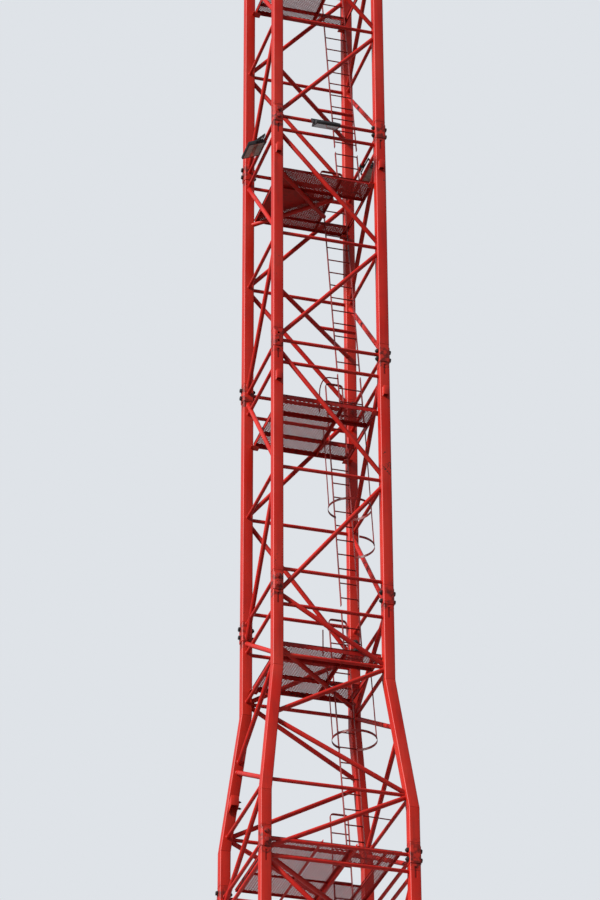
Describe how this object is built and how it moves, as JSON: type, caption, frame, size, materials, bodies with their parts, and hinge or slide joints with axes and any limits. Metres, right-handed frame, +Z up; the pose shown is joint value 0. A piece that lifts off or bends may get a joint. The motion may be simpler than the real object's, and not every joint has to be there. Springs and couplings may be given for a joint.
{
  "type": "tower crane mast",
  "caption": "Square lattice mast of a tower crane with tapered lower bay, bolted chord joints, decks, ladders and floodlights.",
  "frame": {"origin": "middle of the front left chord's foot face", "axes": "+Z up the mast, +X from the front left chord to the front right chord, +Y from the front side to the back side"},
  "size_m": [2.582, 2.582, 22.82],
  "materials": {
    "painted_steel": "red enamel on steel, weathered, with some rust",
    "painted_tube": "red enamel on steel tube, weathered",
    "deck_steel": "red enamel on steel sheet and expanded mesh",
    "ladder_steel": "red enamel, worn on the rungs",
    "black_bolts": "black oxide, oiled",
    "yoke_steel": "black powder coat",
    "lamp_housing": "black powder coat on cast aluminium, with a glass pane"
  },
  "bodies": {
    "mast": {"foot_sockets": "painted_steel", "foot_chords": "painted_steel", "taper_chords": "painted_steel", "lower_chords": "painted_steel", "middle_chords": "painted_steel", "upper_chords": "painted_steel", "foot_front_bracing": "painted_tube", "foot_right_bracing": "painted_tube", "foot_back_bracing": "painted_tube", "foot_left_bracing": "painted_tube", "taper_front_bracing": "painted_tube", "taper_right_bracing": "painted_tube", "taper_back_bracing": "painted_tube", "taper_left_bracing": "painted_tube", "lower_front_bracing": "painted_tube", "lower_right_bracing": "painted_tube", "lower_back_bracing": "painted_tube", "lower_left_bracing": "painted_tube", "middle_front_bracing": "painted_tube", "middle_right_bracing": "painted_tube", "middle_back_bracing": "painted_tube", "middle_left_bracing": "painted_tube", "upper_front_bracing": "painted_tube", "upper_right_bracing": "painted_tube", "upper_back_bracing": "painted_tube", "upper_left_bracing": "painted_tube", "plan_bracing": "painted_tube", "joint_bolts": "black_bolts", "foot_deck": "deck_steel", "taper_deck": "deck_steel", "lower_deck": "deck_steel", "middle_deck": "deck_steel", "upper_deck": "deck_steel", "foot_ladder": "ladder_steel", "taper_ladder": "ladder_steel", "lower_ladder": "ladder_steel", "middle_ladder": "ladder_steel", "upper_ladder": "ladder_steel", "ladder_brackets": "ladder_steel", "safety_cages": "ladder_steel", "floodlight_yokes": "yoke_steel"},
    "front_lamp": {"front_floodlight": "lamp_housing"},
    "right_lamp": {"right_floodlight": "lamp_housing"},
    "back_lamp": {"back_floodlight": "lamp_housing"},
    "left_lamp": {"left_floodlight": "lamp_housing"}
  },
  "joints": [
    {"name": "front_lamp_tilt", "type": "hinge", "parent": "mast", "child": "front_lamp", "pos_m": [1.065, 0.06, 17.995], "axis": [1, 0, 0], "range_deg": [-20, 50]},
    {"name": "right_lamp_tilt", "type": "hinge", "parent": "mast", "child": "right_lamp", "pos_m": [2.26, 1.255, 17.995], "axis": [0, 1, 0], "range_deg": [-20, 50]},
    {"name": "back_lamp_tilt", "type": "hinge", "parent": "mast", "child": "back_lamp", "pos_m": [1.255, 2.26, 17.995], "axis": [-1, 0, 0], "range_deg": [-20, 50]},
    {"name": "left_lamp_tilt", "type": "hinge", "parent": "mast", "child": "left_lamp", "pos_m": [0.06, 1.065, 17.995], "axis": [0, -1, 0], "range_deg": [-20, 50]}
  ]
}
